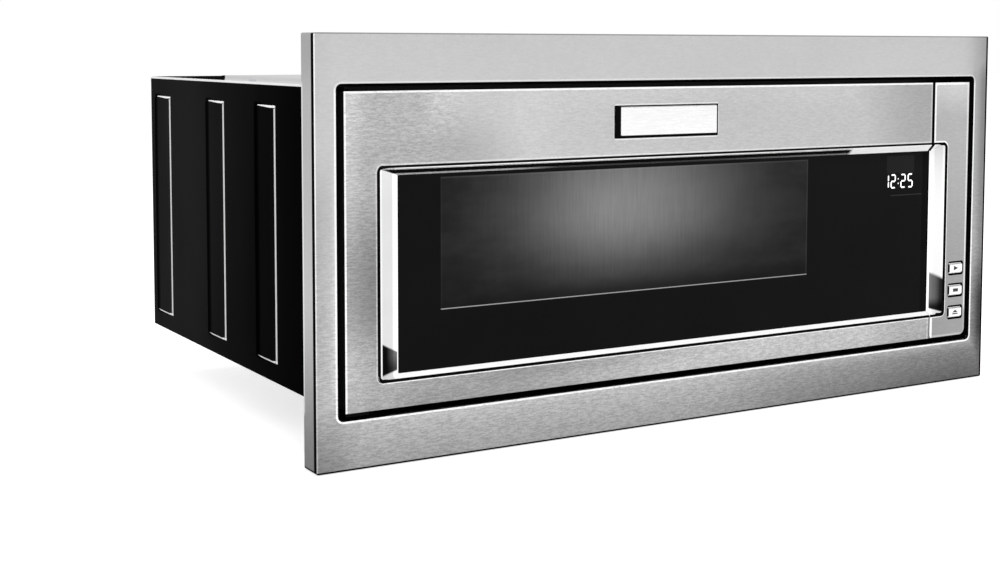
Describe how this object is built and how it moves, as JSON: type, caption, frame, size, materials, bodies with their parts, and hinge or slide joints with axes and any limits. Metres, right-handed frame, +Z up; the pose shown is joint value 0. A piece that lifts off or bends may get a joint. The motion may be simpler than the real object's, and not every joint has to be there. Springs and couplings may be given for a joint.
{
  "type": "built-in microwave",
  "caption": "Low-profile built-in microwave with stainless trim frame, wide left-hinged glass door, right control strip, turntable and ribbed black case.",
  "frame": {"origin": "centre of the four cabinet screw holes, on the plane where the mounting frame meets the cabinet's face", "axes": "+X to the viewer's right, +Y back into the cabinet so the front faces -Y, +Z up"},
  "size_m": [0.7556, 0.4662, 0.3556],
  "materials": {
    "stainless": "brushed, horizontal grain",
    "black_steel": "satin black paint",
    "galvanised": "galvanised sheet",
    "spring_steel": "plain spring steel",
    "screw_steel": "zinc plated",
    "black_rubber": "matte",
    "oven_enamel": "light grey enamel",
    "mica": "mica sheet",
    "lamp_glass": "clear bulb",
    "black_plastic": "moulded, fine grain",
    "magnetron_metal": "plated steel",
    "aluminium_fin": "plain",
    "lamination": "varnished laminations",
    "copper": "enamelled copper wire",
    "circuit_board": "green board",
    "duct_plastic": "natural plastic",
    "fan_plastic": "natural plastic",
    "shaft_steel": "ground",
    "white_plastic": "natural plastic",
    "tray_glass": "clear moulded glass",
    "chrome_trim": "bright chrome plating",
    "badge_metal": "polished",
    "button_silver": "silver",
    "door_glass": "black printed glass",
    "screen_metal": "perforated, painted",
    "pan_steel": "dark enamel",
    "inner_glass": "clear film",
    "display_face": "dark filter"
  },
  "bodies": {
    "chassis": {"trim_frame": "stainless", "mounting_frame": "black_steel", "trim_clips": "spring_steel", "left_side_panel": "black_steel", "right_side_panel": "black_steel", "top_cover": "galvanised", "base_plate": "galvanised", "rear_panel": "black_steel", "cord_gland": "black_rubber", "front_plate": "galvanised", "case_screws": "screw_steel", "oven_cavity": "oven_enamel", "waveguide_cover": "mica", "waveguide": "galvanised", "lamp": "lamp_glass", "lamp_holder": "galvanised", "thermal_cutout": "black_plastic", "magnetron": "magnetron_metal", "magnetron_fins": "aluminium_fin", "transformer_core": "lamination", "transformer_windings": "copper", "capacitor": "magnetron_metal", "capacitor_strap": "galvanised", "filter_board": "circuit_board", "air_duct": "duct_plastic", "fan_shroud": "galvanised", "fan_motor": "lamination", "turntable_motor": "magnetron_metal", "control_strip": "stainless", "control_bezel": "chrome_trim", "control_housing": "black_plastic", "button_board": "circuit_board", "latch_bracket": "white_plastic", "interlock_switches": "black_plastic", "hinge_brackets": "black_steel"},
    "door": {"door_skin": "stainless", "door_bezel": "chrome_trim", "door_glass": "door_glass", "door_frame": "black_plastic", "window_screen": "screen_metal", "choke_pan": "pan_steel", "inner_window": "inner_glass", "choke_cover": "black_plastic", "touch_board": "circuit_board", "display_module": "display_face", "badge_plate": "badge_metal", "latch_spring": "spring_steel"},
    "latch_key": {"latch_key": "white_plastic"},
    "start_button": {"start_button": "button_silver"},
    "cancel_button": {"cancel_button": "button_silver"},
    "open_button": {"open_button": "button_silver"},
    "release_lever": {"release_lever": "white_plastic"},
    "fan_wheel": {"fan_wheel": "fan_plastic"},
    "turntable": {"motor_shaft": "shaft_steel", "drive_coupler": "white_plastic", "turntable_tray": "tray_glass"},
    "roller_ring": {"roller_ring": "white_plastic"},
    "roller_1": {"roller_1": "white_plastic"},
    "roller_2": {"roller_2": "white_plastic"},
    "roller_3": {"roller_3": "white_plastic"}
  },
  "joints": [
    {"name": "door_hinge", "type": "hinge", "parent": "chassis", "child": "door", "pos_m": [-0.342, -0.017, 0], "axis": [0, 0, -1], "range_deg": [0, 110]},
    {"name": "latch_key_lift", "type": "slide", "parent": "door", "child": "latch_key", "axis": [0, 0, 1], "range_m": [0, 0.00275], "stiffness_N_per_m": 120, "deforming": ["latch_spring"]},
    {"name": "start_press", "type": "slide", "parent": "chassis", "child": "start_button", "axis": [0, 1, 0], "range_m": [0, 0.001], "stiffness_N_per_m": 400},
    {"name": "cancel_press", "type": "slide", "parent": "chassis", "child": "cancel_button", "axis": [0, 1, 0], "range_m": [0, 0.001], "stiffness_N_per_m": 400},
    {"name": "open_press", "type": "slide", "parent": "chassis", "child": "open_button", "axis": [0, 1, 0], "range_m": [0, 0.0025], "stiffness_N_per_m": 500},
    {"name": "lever_pivot", "type": "hinge", "parent": "chassis", "child": "release_lever", "pos_m": [0.28, 0.024, -0.0935], "axis": [1, 0, 0], "range_deg": [0, 11.6]},
    {"name": "fan_spin", "type": "hinge", "parent": "chassis", "child": "fan_wheel", "pos_m": [0.27725, 0.4, 0.01], "axis": [0, 1, 0], "continuous": true},
    {"name": "turntable_spin", "type": "hinge", "parent": "chassis", "child": "turntable", "pos_m": [-0.05, 0.2002, -0.09], "axis": [0, 0, 1], "continuous": true},
    {"name": "roller_ring_spin", "type": "hinge", "parent": "chassis", "child": "roller_ring", "pos_m": [-0.05, 0.2002, -0.0867], "axis": [0, 0, 1], "continuous": true},
    {"name": "roller_1_spin", "type": "hinge", "parent": "roller_ring", "child": "roller_1", "pos_m": [0.055, 0.2002, -0.0867], "axis": [1, 0, 0], "continuous": true},
    {"name": "roller_2_spin", "type": "hinge", "parent": "roller_ring", "child": "roller_2", "pos_m": [-0.1025, 0.29113, -0.0867], "axis": [-0.5, 0.866, 0], "continuous": true},
    {"name": "roller_3_spin", "type": "hinge", "parent": "roller_ring", "child": "roller_3", "pos_m": [-0.1025, 0.10927, -0.0867], "axis": [-0.5, -0.866, 0], "continuous": true}
  ],
  "couplings": [
    {"joint": "lever_pivot", "follows": "open_press", "rad_per_m": 80.2},
    {"joint": "latch_key_lift", "follows": "open_press", "ratio": 1.08},
    {"joint": "roller_ring_spin", "follows": "turntable_spin", "ratio": 0.5},
    {"joint": "roller_1_spin", "follows": "turntable_spin", "ratio": -5.8333},
    {"joint": "roller_2_spin", "follows": "turntable_spin", "ratio": -5.8333},
    {"joint": "roller_3_spin", "follows": "turntable_spin", "ratio": -5.8333}
  ]
}
